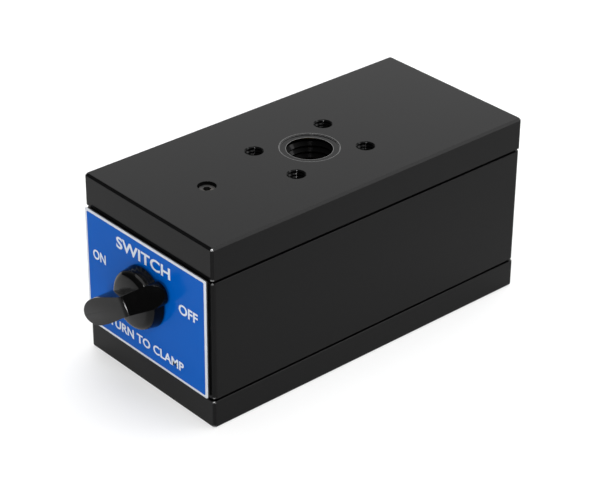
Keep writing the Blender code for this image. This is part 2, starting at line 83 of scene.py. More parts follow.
# %% Fields
class Field:
    """One output socket of a node tree. Arithmetic on it adds Math nodes."""

    def __init__(self, graph, socket):
        self.graph = graph
        self.socket = socket

    def out(self, name):
        """Another output of the same node."""
        return Field(self.graph, self.socket.node.outputs[name])

    def _math(self, operation, first, second):
        return self.graph.node("ShaderNodeMath", {"operation": operation}, {0: first, 1: second})

    def __add__(self, other):
        return self._math("ADD", self, other)

    __radd__ = __add__

    def __mul__(self, other):
        return self._math("MULTIPLY", self, other)

    __rmul__ = __mul__

    def __sub__(self, other):
        return self._math("SUBTRACT", self, other)

    def __rsub__(self, other):
        return self._math("SUBTRACT", other, self)

    def __truediv__(self, other):
        return self._math("DIVIDE", self, other)

    def __rtruediv__(self, other):
        return self._math("DIVIDE", other, self)

    def __abs__(self):
        return self._math("ABSOLUTE", self, 0.0)

    def least(self, other):
        return self._math("MINIMUM", self, other)

    def most(self, other):
        return self._math("MAXIMUM", self, other)

    def step(self, start, end):
        """0 before start, 1 after end, and smooth between them."""
        return self.graph.node("ShaderNodeMapRange", {"interpolation_type": "SMOOTHSTEP"},
                               {"Value": self, "From Min": start, "From Max": end})


# %% [markdown]
# Every other node comes from `Graph.node`, which takes its type, its settings and what goes into
# its sockets. The same two classes serve materials, Geometry Nodes and the room's light.

# %% Graphs
class Graph:
    """A node tree under construction."""

    def __init__(self, tree):
        self.tree = tree
        tree.nodes.clear()

    def node(self, kind, settings=None, values=None, output=0):
        made = self.tree.nodes.new(kind)
        for name, value in (settings or {}).items():
            setattr(made, name, value)
        for key, value in (values or {}).items():
            socket = made.inputs[key]
            for item in value if isinstance(value, list) else [value]:
                if isinstance(item, Field):
                    self.tree.links.new(item.socket, socket)
                else:
                    socket.default_value = item
        return Field(self, made.outputs[output]) if len(made.outputs) else None


# %% [markdown]
# A `Finish` is the graph of a material. It adds the few nodes that every finish here needs: places
# and distances on the object, noise of a real size, a blend of two colours, and a bump of a real
# depth.

# %% Finishes
class Finish(Graph):
    """A material. Its patterns read the object's own metres, so they keep their real size."""

    def __init__(self, name):
        self.material = bpy.data.materials.new(name)
        self.material.use_nodes = True
        super().__init__(self.material.node_tree)
        self.place = self.node("ShaderNodeTexCoord", output="Object")
        print("finish:", name)

    def axes(self):
        parts = self.node("ShaderNodeSeparateXYZ", None, {0: self.place})
        return parts.out("X"), parts.out("Y"), parts.out("Z")

    def noise(self, size, detail, place=None):
        """Soft random patches about size metres across, between 0 and 1."""
        return self.node("ShaderNodeTexNoise", None,
                         {"Vector": place or self.place, "Scale": 1 / size, "Detail": detail})

    def stretched(self, x, y, z, turn=(0.0, 0.0, 0.0)):
        """The place, squeezed along each axis, for patterns that run one way."""
        return self.node("ShaderNodeMapping", None,
                         {"Vector": self.place, "Rotation": turn, "Scale": (x, y, z)})

    def distance(self, centre):
        """Metres from a fixed point."""
        return self.node("ShaderNodeVectorMath", {"operation": "DISTANCE"},
                         {0: self.place, 1: tuple(centre)}, output="Value")

    def mix(self, factor, first, second):
        """Blend two colours."""
        return self.node("ShaderNodeMix", {"data_type": "RGBA"},
                         {0: factor, 6: first, 7: second}, output=2)

    def bump(self, height, depth):
        """A normal from a height between 0 and 1 that stands for depth metres."""
        return self.node("ShaderNodeBump", None,
                         {"Height": height, "Distance": depth, "Strength": 1.0})

    def surface(self, values):
        """The last two nodes: the Principled shader and the output."""
        shader = self.node("ShaderNodeBsdfPrincipled", None, values)
        self.node("ShaderNodeOutputMaterial", None, {"Surface": shader})
        return self.material


def grey(value):
    """An even grey as a colour with its alpha."""
    return (value, value, value, 1.0)


# %% [markdown]
# ## How near is the nearest edge?
#
# Paint goes thin and dull along the edges of a block, where hands and tables rub it, and it chips
# at the corners; those bare chips are also painted glints on the corners. A box's edge is where
# two faces meet, so of the three distances from a point to the box's sides, the smallest is nought
# on the surface. The middle one says how far the nearest edge is, and the largest one says how far
# the nearest corner is.

# %% Edge distance
def side_gaps(finish, low, high):
    """How far inside the nearer side of a box a point lies, along each axis."""
    return [(b - a) / 2 - abs(value - (a + b) / 2)
            for value, a, b in zip(finish.axes(), low, high)]


def edge_distance(finish, low, high):
    """Metres to the nearest edge of a box, for a point on its surface."""
    x, y, z = side_gaps(finish, low, high)
    return x.least(y).most(x.most(y).least(z))


def corner_distance(finish, low, high):
    """Metres to the nearest corner of a box, along whichever axis it is farthest."""
    x, y, z = side_gaps(finish, low, high)
    return x.most(y).most(z)


# %% [markdown]
# ## Black enamel
#
# The block is sprayed with gloss black enamel over machined iron. Four things keep it from
# looking like computer black. The paint has a faint orange peel, a millimetre or two across. Its
# gloss varies a little, with hair scratches from sliding on benches. A trace of pale dust and thin
# paint shows along the edges. Bare metal shows in tiny chips at the corners and in a line round
# the rims of the large bore, and these are painted glints too: they stand in for the highlights on
# the corners and the rims. The underside is ground flat after painting, so the lowest hair's
# breadth of the foot and the poles is bare iron.

# %% Enamel
ENAMEL_IOR = 1.19
PAINT_BLACK = (0.0035, 0.0035, 0.0036, 1)
THIN_PAINT = (0.020, 0.020, 0.021, 1)
CHIP_GLINT_SIZE = 0.85 * MM
RIM_GLINT_WIDTH = 0.30 * MM
RIM_GLINT_DEPTH = 0.75 * MM
GROUND_HEIGHT = 0.15 * MM


def ground_iron(finish):
    """Iron ground flat along Y, with a few dull stains."""
    grind = finish.noise(0.6 * MM, 3.0, finish.stretched(1.0, 0.02, 1.0))
    stain = finish.noise(14 * MM, 4.0)
    colour = finish.mix(stain.step(0.45, 0.75), grey(0.46), (0.33, 0.31, 0.29, 1))
    return finish.node("ShaderNodeBsdfPrincipled", None,
                       {"Base Color": colour, "Metallic": 1.0,
                        "Roughness": 0.26 + grind * 0.12 + stain * 0.08,
                        "Normal": finish.bump(grind, 0.006 * MM)})


def enamel(name, low, high, bare_below=None, wear_and_glints=0.35, glint_rims=()):
    """Gloss black enamel on the box between low and high, with worn edges and painted glints."""
    finish = Finish(name)
    peel = finish.noise(1.6 * MM, 2.0)
    cloud = finish.noise(22 * MM, 3.0)
    fine = finish.noise(0.35 * MM, 4.0)
    hair_one = finish.noise(0.5 * MM, 2.0, finish.stretched(1.0, 0.03, 1.0, (0, 0, 0.35)))
    hair_two = finish.noise(0.4 * MM, 2.0, finish.stretched(0.03, 1.0, 1.0, (0, 0, 0.8)))
    scratch = hair_one.step(0.70, 0.76).most(hair_two.step(0.72, 0.78)) * cloud.step(0.45, 0.7)
    ragged = edge_distance(finish, low, high) + (fine - 0.5) * 0.7 * MM
    rubbed = (1 - ragged.step(0.1 * MM, 0.6 * MM)) * wear_and_glints
    dust = fine.step(0.62, 0.80) * 0.5 * cloud
    colour = finish.mix(rubbed * 0.5, PAINT_BLACK, THIN_PAINT)
    colour = finish.mix(dust * 0.10, colour, grey(0.10))
    roughness = 0.085 + cloud * 0.05 + scratch * 0.08 + rubbed * 0.10 + dust * 0.08
    # Painted glints: bare metal chips at the corners stand in for the corners' highlights.
    gap = corner_distance(finish, low, high) + (fine - 0.5) * 0.5 * MM
    chips_and_glints = (1 - gap.step(0.50 * MM, CHIP_GLINT_SIZE)) * (0.8 if wear_and_glints else 0.0)
    height_up = finish.axes()[2]
    near_top = height_up.step(high.z - RIM_GLINT_DEPTH, high.z - 0.60 * MM)
    # Painted glints: a bare line round each rim of the bore stands in for the rims' highlights.
    for centre, radius in glint_rims:
        away = abs(finish.distance(centre) - radius) + fine * 0.1 * MM
        chips_and_glints = chips_and_glints.most((1 - away.step(0.10 * MM, RIM_GLINT_WIDTH)) * near_top * 0.45)
    colour = finish.mix(chips_and_glints, colour, grey(0.28))
    roughness = roughness + chips_and_glints * 0.22
    height = peel * 0.85 + fine * 0.12 - scratch * 0.15
    values = {"Base Color": colour, "Metallic": chips_and_glints, "Roughness": roughness,
              "IOR": ENAMEL_IOR, "Normal": finish.bump(height, 0.004 * MM)}
    if bare_below is None:
        return finish.surface(values)
    painted = finish.node("ShaderNodeBsdfPrincipled", None, values)
    bare = 1 - (height_up + (fine - 0.5) * 0.1 * MM).step(bare_below, bare_below + 0.12 * MM)
    blend = finish.node("ShaderNodeMixShader", None,
                        {0: bare, 1: painted, 2: ground_iron(finish)})
    finish.node("ShaderNodeOutputMaterial", None, {"Surface": blend})
    return finish.material


# %% [markdown]
# Each layer is painted as the box that it fills. The two poles and the spacers between them make
# one box. The rear cap lies flush in the poles, so it has no worn edges of its own.

# %% Paint for each layer
opening = next(item for item in frame["record"]["physics"]["openings"]
               if item["name"] == "column_bore")
bore_x, bore_y = [(a + b) / 2 for a, b in zip(opening["box_m"][0], opening["box_m"][1])][:2]
BORE_CREST = 6.9 * MM
BORE_MOUTH = 8.9 * MM
bore_top = (bore_x, bore_y, slab_high.z)
# The bore's two rims get bare lines, which are painted glints on the rims.
slab_enamel = enamel("slab_enamel", slab_low, slab_high,
                     glint_rims=((bore_top, BORE_MOUTH), (bore_top, BORE_CREST)))
pole_box = [Vector((block_low.x, block_low.y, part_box("spacer_lower")[0].z)),
            Vector((block_high.x, block_high.y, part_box("spacer_upper")[1].z))]
pole_enamel = enamel("pole_enamel", *pole_box, bare_below=GROUND_HEIGHT)
foot_enamel = enamel("foot_enamel", foot_low, foot_high, bare_below=GROUND_HEIGHT)
cap_low, cap_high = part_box("rear_cap")
cap_enamel = enamel("cap_enamel", cap_low, cap_high, wear_and_glints=0.0)
print("bore centre in mm:", round(bore_x / MM, 1), round(bore_y / MM, 1))

# %% [markdown]
# ## Turned and ground metals
#
# Screws, pins and the shaft come off a lathe, the magnets are ground and the brass is milled. One
# recipe serves them all: fine lines along one direction, patches of tarnish, and a roughness that
# follows both.

# %% Metals
def metal(name, clean, tarnished, roughness, metallic=1.0):
    """Worked metal with fine lines, tarnished in patches and specks."""
    finish = Finish(name)
    lines = finish.noise(0.4 * MM, 3.0, finish.stretched(1.0, 0.03, 1.0))
    patches = finish.noise(5 * MM, 4.0)
    speck = finish.noise(0.25 * MM, 2.0)
    colour = finish.mix(patches.step(0.4, 0.75), clean, tarnished)
    colour = finish.mix(speck.step(0.66, 0.8) * 0.4, colour, tarnished)
    return finish.surface({
        "Base Color": colour, "Metallic": metallic,
        "Roughness": roughness + lines * 0.12 + patches * 0.08,
        "Normal": finish.bump(lines * 0.8 + speck * 0.2, 0.006 * MM)})


brass = metal("milled_brass", (0.62, 0.43, 0.17, 1), (0.40, 0.25, 0.10, 1), 0.24)
steel = metal("turned_steel", grey(0.48), (0.30, 0.28, 0.27, 1), 0.24)
oxide = metal("black_oxide_steel", grey(0.030), (0.050, 0.042, 0.036, 1), 0.34, metallic=0.7)
ferrite = metal("ground_ferrite", grey(0.040), (0.070, 0.062, 0.058, 1), 0.45, metallic=0.25)

# %% [markdown]
# The spacers are brass too, but their ends come out at the front and the back of the block, where
# the spray gun painted them over. The edge of that spray is a soft, misty line.

# %% Brass with paint on its ends
SPRAYED_END = 2.4 * MM
SPACER_BRASS = (0.56, 0.38, 0.15, 1)
overspray = Finish("oversprayed_brass")
mist = overspray.noise(0.8 * MM, 3.0)
spray_line = block_high.y - SPRAYED_END
sprayed = (abs(overspray.axes()[1]) + mist * 0.6 * MM).step(spray_line, spray_line + 0.3 * MM)
spacer_brass = overspray.surface({
    "Base Color": overspray.mix(sprayed, SPACER_BRASS, PAINT_BLACK),
    "Metallic": 1 - sprayed, "Roughness": 0.24 + mist * 0.10 - sprayed * 0.14,
    "IOR": ENAMEL_IOR, "Normal": overspray.bump(mist, 0.006 * MM)})

# %% [markdown]
# ## Plastic and rubber
#
# The knob is a gloss black moulding. Its skin is almost a mirror, so the detail is in how it fails
# to be one: faint flow waves from the mould, fine polishing haze and a few rubbed patches. The
# seal and the washer are matt.

# %% Mouldings
def moulding(name, colour, worn, roughness, wave=0.010, haze=0.06, ior=1.5):
    """A moulded skin. Its flow waves are so many millimetres deep."""
    finish = Finish(name)
    flow = finish.noise(3.5 * MM, 1.0)
    patches = finish.noise(7 * MM, 3.0)
    fine = finish.noise(0.22 * MM, 3.0)
    hair = finish.noise(0.35 * MM, 2.0, finish.stretched(0.04, 1.0, 0.8, (0.0, 0.5, 0.3)))
    scuff = hair.step(0.68, 0.76) * patches.step(0.45, 0.75)
    tint = finish.mix(patches.step(0.5, 0.8) * 0.5 + scuff * 0.3, colour, worn)
    return finish.surface({
        "Base Color": tint, "IOR": ior,
        "Roughness": roughness + patches * haze + scuff * 0.12 + fine * 0.02,
        "Normal": finish.bump(flow * 0.9 + fine * 0.06 - scuff * 0.1, wave * MM)})


knob_plastic = moulding("gloss_black_moulding", grey(0.002), grey(0.006), 0.07, ior=1.22)
seal_rubber = moulding("seal_rubber", grey(0.012), grey(0.030), 0.62, 0.02, 0.15)
nylon = moulding("washer_nylon", (0.70, 0.68, 0.60, 1), (0.55, 0.52, 0.44, 1), 0.42, 0.02, 0.1)

# %% [markdown]
# ## The label's inks
#
# The label is a thin aluminium foil. A blue ink panel is screen printed on it and leaves a bare
# silver border, and white ink lettering lies over the blue. Ink has a slightly pebbled skin, and
# the foil shows the fine brushing of rolled sheet.

# %% Label finishes
def ink(name, colour, second, roughness, pebble, ior=1.22):
    """Screen-printed ink between two close colours. Its pebbles are in millimetres."""
    finish = Finish(name)
    cloud = finish.noise(9 * MM, 2.0)
    grain = finish.noise(0.30 * MM, 3.0)
    pinhole = finish.noise(0.9 * MM, 1.0).step(0.74, 0.80)
    tint = finish.mix(cloud * 0.6 + grain * 0.3, colour, second)
    return finish.surface({
        "Base Color": tint, "IOR": ior,
        "Roughness": roughness + cloud * 0.05 + grain * 0.04 + pinhole * 0.1,
        "Normal": finish.bump(grain - pinhole * 0.5, pebble * MM)})


blue_ink = ink("blue_ink", (0.0, 0.082, 0.400, 1), (0.0, 0.095, 0.440, 1), 0.08, 0.001, 1.12)
white_ink = ink("white_ink", (0.64, 0.69, 0.75, 1), (0.56, 0.62, 0.69, 1), 0.30, 0.006)

foil_finish = Finish("brushed_plate")
brushing = foil_finish.noise(0.20 * MM, 3.0, foil_finish.stretched(0.02, 1.0, 1.0))
clouding = foil_finish.noise(6 * MM, 3.0)
foil_silver = foil_finish.surface({
    "Base Color": foil_finish.mix(clouding, (0.64, 0.66, 0.70, 1), (0.52, 0.55, 0.60, 1)),
    "Metallic": 0.55, "Roughness": 0.34 + brushing * 0.16,
    "Normal": foil_finish.bump(brushing, 0.004 * MM)})

# %% [markdown]
# ## Helpers for meshes
#
# A finished piece is a plain mesh in the frame's own metres, with its object at the origin. `plain`
# runs the modifiers of an object once and keeps the result, and `smoothed` shades it. `adopt`
# gives the piece its finish, its body and the loaded pieces that it stands for.

# %% Mesh helpers
def new_object(name, mesh):
    """Put a mesh, curve, lamp or camera into the scene."""
    item = bpy.data.objects.new(name, mesh)
    bpy.context.scene.collection.objects.link(item)
    return item


def from_bmesh(name, shape):
    """Turn a finished bmesh into an object."""
    mesh = bpy.data.meshes.new(name)
    shape.to_mesh(mesh)
    shape.free()
    return new_object(name, mesh)


def plain(item):
    """Run the modifiers once and keep only the mesh, in its place."""
    bpy.context.view_layer.update()
    graph = bpy.context.evaluated_depsgraph_get()
    mesh = bpy.data.meshes.new_from_object(item.evaluated_get(graph))
    mesh.transform(item.matrix_world)
    name = item.name
    bpy.data.objects.remove(item, do_unlink=True)
    made = new_object(name, mesh)
    mesh.name = name
    return made


def smoothed(item, sharp=30):
    """Shade a mesh smooth, except across edges sharper than so many degrees."""
    item.data.shade_smooth()
    item.data.set_sharp_from_angle(angle=math.radians(sharp))
    return item


def soften(item, width, steps):
    """Round the sharp edges by width, with flat faces left flat."""
    bevel = item.modifiers.new("round_edges", "BEVEL")
    bevel.width = width
    bevel.segments = steps
    bevel.limit_method = "ANGLE"
    bevel.angle_limit = math.radians(28)
    bevel.miter_outer = "MITER_ARC"
    return item


def level_normals(item):
    """Let the large faces decide the shading, so that the small bevels blend into them."""
    normals = item.modifiers.new("weighted_normals", "WEIGHTED_NORMAL")
    normals.mode = "FACE_AREA"
    normals.weight = 90
    normals.keep_sharp = False
    return item


def adopt(piece, material, body, slot, *nodes):
    """Hang a finished piece on its body, in the place of the loaded pieces that are named."""
    piece.data.materials.clear()
    piece.data.materials.append(material)
    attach(piece, body)
    if nodes:
        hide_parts(*nodes)
    print(f"{piece.name}: {len(piece.data.polygons)} faces on {body}")
    return piece


# %% [markdown]
# ## Enamelled layers with soft edges
#
# The loaded slabs have the right size and holes, but their edges are knife sharp, and a sharp edge
# catches no light. Each one is copied, its loose triangles are joined into whole faces, and the
# edges on its outer skin get a bevel of a fraction of a millimetre. Inner edges are left alone,
# because nobody sees them.

# %% The pole bars, the foot and the rear cap
EDGE_RADIUS = 0.12 * MM
SKIN_DEPTH = 0.9 * MM
SHORTEST_EDGE = 0.25 * MM
MERGE = 0.002 * MM


def merged(shape, flat_within):
    """Join the loose triangles of a bmesh into whole faces, flat within so many degrees."""
    bmesh.ops.remove_doubles(shape, verts=shape.verts, dist=MERGE)
    bmesh.ops.dissolve_limit(shape, angle_limit=math.radians(flat_within), verts=shape.verts,
                             edges=shape.edges)


def outer_edges(shape, low, high):
    """Sharp edges that lie close to the skin of a box."""
    chosen = []
    for edge in shape.edges:
        if len(edge.link_faces) != 2 or edge.calc_face_angle(0.0) < math.radians(20):
            continue
        depths = [min(min(c - a, b - c) for c, a, b in zip(vert.co, low, high))
                  for vert in edge.verts]
        if edge.calc_length() >= SHORTEST_EDGE and max(depths) < SKIN_DEPTH:
            chosen.append(edge)
    return chosen


def softened_copy(node, low, high):
    """A copy of a loaded piece, with rounded edges on its outside."""
    shape = bmesh.new()
    shape.from_mesh(frame["nodes"][node].data)
    merged(shape, 0.6)
    bmesh.ops.bevel(shape, geom=outer_edges(shape, low, high), offset=EDGE_RADIUS, segments=3,
                    profile=0.5, affect="EDGES", clamp_overlap=True)
    return from_bmesh(node + "_enamelled", shape)


for node, body_box, finish in (
        ("pole_left", pole_box, pole_enamel),
        ("pole_right", pole_box, pole_enamel),
        ("foot_plate", (foot_low, foot_high), foot_enamel),
        ("rear_cap", (cap_low, cap_high), cap_enamel)):
    layer = level_normals(softened_copy(node, *body_box))
    adopt(plain(layer), finish, "base", "black_paint", node)

# %% [markdown]
# ## The top slab and its tapped holes
#
# The loaded slab has its holes at the size of their threads' crests, which is right for working
# out what fits. A real tapped hole is wider between its crests, so the copy is bored out to the
# full thread diameter here, and the ridges of the threads come next.

# %% Bore out the holes
BORE_ROOT = 8.0 * MM
BORE_PITCH = 2.0 * MM
BORE_STEP = 0.4 * MM
BORE_LIP = 0.15 * MM
TAPPED_CREST = 2.5 * MM
TAPPED_ROOT = 2.95 * MM
TAPPED_PITCH = 1.0 * MM
TAPPED_TOP = 0.45 * MM
TAPPED_DEPTH = 8.2 * MM
TAPPED_X = (-7.2 * MM, 11.4 * MM)
TAPPED_Y = (-14.8 * MM, 12.0 * MM)
tapped = [(x, y) for x in TAPPED_X for y in TAPPED_Y]


def cylinder(name, x, y, radius, bottom, top, segments=64):
    """An upright round tool for cutting."""
    shape = bmesh.new()
    bmesh.ops.create_cone(shape, cap_ends=True, segments=segments, radius1=radius,
                          radius2=radius, depth=top - bottom)
    bmesh.ops.translate(shape, vec=(x, y, (top + bottom) / 2), verts=shape.verts)
    return from_bmesh(name, shape)


def combine(target, tool, operation, solver="EXACT"):
    """Apply one Boolean and remove the tool."""
    modifier = target.modifiers.new(operation.lower(), "BOOLEAN")
    modifier.operation = operation
    modifier.solver = solver
    modifier.object = tool
    made = plain(target)
    bpy.data.objects.remove(tool, do_unlink=True)
    return made


slab = softened_copy("top_plate", slab_low, slab_high)
slab = combine(slab, cylinder("bore", bore_x, bore_y, BORE_ROOT, slab_low.z - MM,
                              slab_high.z - BORE_STEP - BORE_LIP, 96), "DIFFERENCE")
for x, y in tapped:
    slab = combine(slab, cylinder("tapping", x, y, TAPPED_ROOT, slab_high.z - TAPPED_DEPTH,
                                  slab_high.z - TAPPED_TOP, 48), "DIFFERENCE")
adopt(plain(level_normals(slab)), slab_enamel, "base", "black_paint", "top_plate")

# %% [markdown]
# ## Growing things that repeat
#
# Threads and screws follow rules, so Geometry Nodes make them: a tree with named sizes is built
# once and used for each kind. The object under the tree holds one vertex for each copy. The tree
# is run once, and a plain mesh is kept.

# %% Geometry trees
class Growth(Graph):
    """A geometry tree with named sizes in metres, which copies one shape onto every vertex."""

    def __init__(self, name, sizes):
        tree = bpy.data.node_groups.new(name, "GeometryNodeTree")
        tree.interface.new_socket(name="Points", in_out="INPUT",
                                  socket_type="NodeSocketGeometry")
        for size in sizes:
            tree.interface.new_socket(name=size, in_out="INPUT", socket_type="NodeSocketFloat")
        tree.interface.new_socket(name="Shape", in_out="OUTPUT",
                                  socket_type="NodeSocketGeometry")
        super().__init__(tree)
        self.given = self.node("NodeGroupInput")

    def size(self, name):
        return self.given.out(name)

    def raised(self, shape, z):
        offset = self.node("ShaderNodeCombineXYZ", None, {"Z": z})
        return self.node("GeometryNodeTransform", None,
                         {"Geometry": shape, "Translation": offset})

    def cone(self, sides, bottom, top, depth):
        """A solid from z = 0 upwards, with a radius at each end."""
        return self.node("GeometryNodeMeshCone", None,
                         {"Vertices": sides, "Radius Bottom": bottom, "Radius Top": top,
                          "Depth": depth})

    def ridge(self, radius, depth, pitch, length, turns_each=40):
        """A helix of diamond section about Z, from z = 0 upwards."""
        helix = self.node("GeometryNodeCurveSpiral", None,
                          {"Resolution": turns_each, "Rotations": length / pitch,
                           "Start Radius": radius, "End Radius": radius, "Height": length})
        upright = self.node("GeometryNodeSetCurveNormal", {"mode": "Z_UP"}, {"Curve": helix})
        section = self.node("GeometryNodeCurvePrimitiveQuadrilateral", {"mode": "KITE"},
                            {"Width": pitch * 0.92, "Bottom Height": depth,
                             "Top Height": depth})
        return self.node("GeometryNodeCurveToMesh", None,
                         {"Curve": upright, "Profile Curve": section, "Fill Caps": True})

    def finished(self, shapes, material):
        """Copy the joined shapes onto every point, and close the tree."""
        joined = self.node("GeometryNodeJoinGeometry", None, {"Geometry": shapes})
        copies = self.node("GeometryNodeInstanceOnPoints", None,
                           {"Points": self.given.out("Points"), "Instance": joined})
        real = self.node("GeometryNodeRealizeInstances", None, {"Geometry": copies})
        dressed = self.node("GeometryNodeSetMaterial", None,
                            {"Geometry": real, "Material": material})
        self.node("NodeGroupOutput", None, {"Shape": dressed})
        return self.tree


# %% [markdown]
# The inputs of a modifier go by identifiers, so `grow` looks up each size's own before the tree
# runs for the first time.

# %% Run a tree
def grow(name, tree, points, facing=(0, 0, 1), **sizes):
    """Run a tree on these points, with its own Z turned to the way it faces."""
    turn = Vector(facing).to_track_quat("Z", "Y").to_matrix()
    mesh = bpy.data.meshes.new(name)
    mesh.from_pydata([turn.inverted() @ Vector(point) for point in points], [], [])
    item = new_object(name, mesh)
    modifier = item.modifiers.new(name, "NODES")
    modifier.node_group = tree
    for socket in tree.interface.items_tree:
        if socket.in_out == "INPUT" and socket.socket_type == "NodeSocketFloat":
            modifier[socket.identifier] = sizes[socket.name.lower().replace(" ", "_")]
    item = plain(item)
    item.data.transform(turn.to_4x4())
    print(f"{name}: {len(item.data.polygons)} faces from {len(points)} points")
    return smoothed(item)


# %% [markdown]
# ## Threads
#
# A tap cuts a helix. Each ridge is a diamond swept round a spiral: its inner corner is the crest,
# and its outer half is buried in the slab. The large bore takes a column's coarse thread, and the
# four small holes take bolts. Every ridge stops a little short of both ends of its hole.

# %% Thread ridges
BORE_RUNOUT = (1.2 * MM, 1.25 * MM)
TAPPED_RUNOUT = 0.6 * MM
thread_tree = Growth("thread", ["Root radius", "Depth", "Pitch", "Length"])
thread_ridge = thread_tree.ridge(thread_tree.size("Root radius"), thread_tree.size("Depth"),
                                 thread_tree.size("Pitch"), thread_tree.size("Length"))
thread_tree = thread_tree.finished([thread_ridge], slab_enamel)
bore_floor = slab_low.z + BORE_RUNOUT[0]
bore_thread = grow("bore_thread", thread_tree, [(bore_x, bore_y, bore_floor)],
                   root_radius=BORE_ROOT, depth=BORE_ROOT - BORE_CREST, pitch=BORE_PITCH,
                   length=slab_high.z - BORE_STEP - BORE_RUNOUT[1] - bore_floor)
adopt(bore_thread, slab_enamel, "base", "black_paint")
tapped_floor = slab_high.z - TAPPED_DEPTH + TAPPED_RUNOUT
tapped_threads = grow("tapped_threads", thread_tree, [(x, y, tapped_floor) for x, y in tapped],
                      root_radius=TAPPED_ROOT, depth=TAPPED_ROOT - TAPPED_CREST,
                      pitch=TAPPED_PITCH,
                      length=slab_high.z - TAPPED_TOP - TAPPED_RUNOUT - tapped_floor)
adopt(tapped_threads, slab_enamel, "base", "black_paint")

# %% [markdown]
# ## Socket screws
#
# All the visible screws are countersunk ones with a hexagon socket, in three thread sizes. The tree
# makes one screw from the frame's measurements: a conical head with a short rim, a socket cut by a
# Boolean, and a shank with a rolled thread.

# %% The screw tree
screw = Growth("socket_screw", ["Head radius", "Shank radius", "Length", "Pitch"])
head_radius, shank_radius = screw.size("Head radius"), screw.size("Shank radius")
screw_length, pitch = screw.size("Length"), screw.size("Pitch")
rim = head_radius * 0.08
cone_depth = head_radius - shank_radius
core_radius = shank_radius * 0.8
socket_radius = head_radius * 0.5
solid_head = screw.node("GeometryNodeMeshBoolean", {"operation": "UNION"}, {"Mesh 2": [
    screw.raised(screw.cone(40, head_radius, head_radius * 0.95, rim * 0.5), rim * -0.5),
    screw.raised(screw.cone(40, head_radius, head_radius, rim * 0.5), -1 * rim),
    screw.raised(screw.cone(40, shank_radius, head_radius, cone_depth), -1 * rim - cone_depth)]})
socket_tool = screw.cone(6, socket_radius, socket_radius, head_radius * 1.2)
socketed = screw.node("GeometryNodeMeshBoolean", {"operation": "DIFFERENCE"},
                      {"Mesh 1": solid_head,
                       "Mesh 2": [screw.raised(socket_tool, head_radius * -0.55)]})
core = screw.cone(24, core_radius, core_radius, screw_length - cone_depth)
thread_length = screw_length - cone_depth - rim - pitch * 2
ridge = screw.ridge(core_radius, shank_radius * 0.2, pitch, thread_length, 16)
screw_tree = screw.finished([socketed, screw.raised(core, -1 * screw_length),
                             screw.raised(ridge, pitch * 0.5 - screw_length)], oxide)
print("nodes in the screw's tree:", len(screw_tree.nodes))

# %% [markdown]
# Each group of screws faces its own way, and its heads lie flush with the faces of the loaded ones.
# The last two figures in a row are the shank's radius and the thread's pitch, in millimetres.

# %% Groups of screws
SCREWS = (
    ("top_screw_head", ["top_screw"], (0, 0, 1), 1.4, 0.5),
    ("foot_screws", [f"body_screw_{n}" for n in range(1, 5)], (0, 0, -1), 2.4, 0.8),
    ("side_screws", ["tie_screw_1", "tie_screw_2"], (-1, 0, 0), 2.4, 0.8),
    ("cap_screws", [f"cap_screw_{n}" for n in range(1, 5)], (0, 1, 0), 1.0, 0.4),
    ("bush_screws", [f"bush_screw_{n}" for n in range(1, 5)], (0, -1, 0), 1.0, 0.4),
)
for name, nodes, facing, shank_mm, pitch_mm in SCREWS:
    facing = Vector(facing)
    boxes = [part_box(node) for node in nodes]
    half = (boxes[0][1] - boxes[0][0]) / 2
    along = abs(half.dot(facing))
    heads = [(low + high) / 2 + facing * along for low, high in boxes]
    screws = grow(name, screw_tree, heads, facing, head_radius=min(half),
                  shank_radius=shank_mm * MM, length=along * 2, pitch=pitch_mm * MM)
    adopt(screws, oxide, "base", "black_oxide", *nodes)

# %% [markdown]
# ## The label
#
# The label has three layers. A dark matt layer lies at the back. On it lies a stiff silver foil,
# whose bare edge is the border. The blue panel is a film of ink on the foil. As a real, very
# thin solid with round corners it catches light along its edge, which a painted mask would not.

# %% Flat films
def arc(centre, radius, start, end, steps):
    """Points along an arc, between two angles in degrees."""
    points = []
    for index in range(steps + 1):
        turn = math.radians(start + (end - start) * index / steps)
        points.append((centre[0] + radius * math.cos(turn), centre[1] + radius * math.sin(turn)))
    return points


def label_outline(inset, radius):
    """Points round the label, inset from its edge, with arcs at its corners."""
    left, bottom = label_low.x + inset + radius, label_low.z + inset + radius
    right, top = label_high.x - inset - radius, label_high.z - inset - radius
    return (arc((right, bottom), radius, -90, 0, 8) + arc((right, top), radius, 0, 90, 8)
            + arc((left, top), radius, 90, 180, 8) + arc((left, bottom), radius, 180, 270, 8))


def film(name, outline, back_face, thickness, hole):
    """A flat outline in X and Z, thickened forwards from its back face, with a round hole."""
    curve = bpy.data.curves.new(name, "CURVE")
    curve.dimensions = "2D"
    curve.fill_mode = "BOTH"
    curve.extrude = thickness / 2
    circle = arc((axis_x, axis_z), hole, 0, 360, 64)[:-1]
    for points in (outline, circle):
        spline = curve.splines.new("POLY")
        spline.points.add(len(points) - 1)
        for point, (x, z) in zip(spline.points, points):
            point.co = (x, z, 0.0, 1.0)
        spline.use_cyclic_u = True
    item = plain(new_object(name, curve))
    item.data.transform(Matrix.Translation((0, back_face - thickness / 2, 0))
                        @ Matrix.Rotation(math.radians(90), 4, "X"))
    shape = bmesh.new()
    shape.from_mesh(item.data)
    merged(shape, 0.5)
    shape.to_mesh(item.data)
    shape.free()
    return smoothed(item)
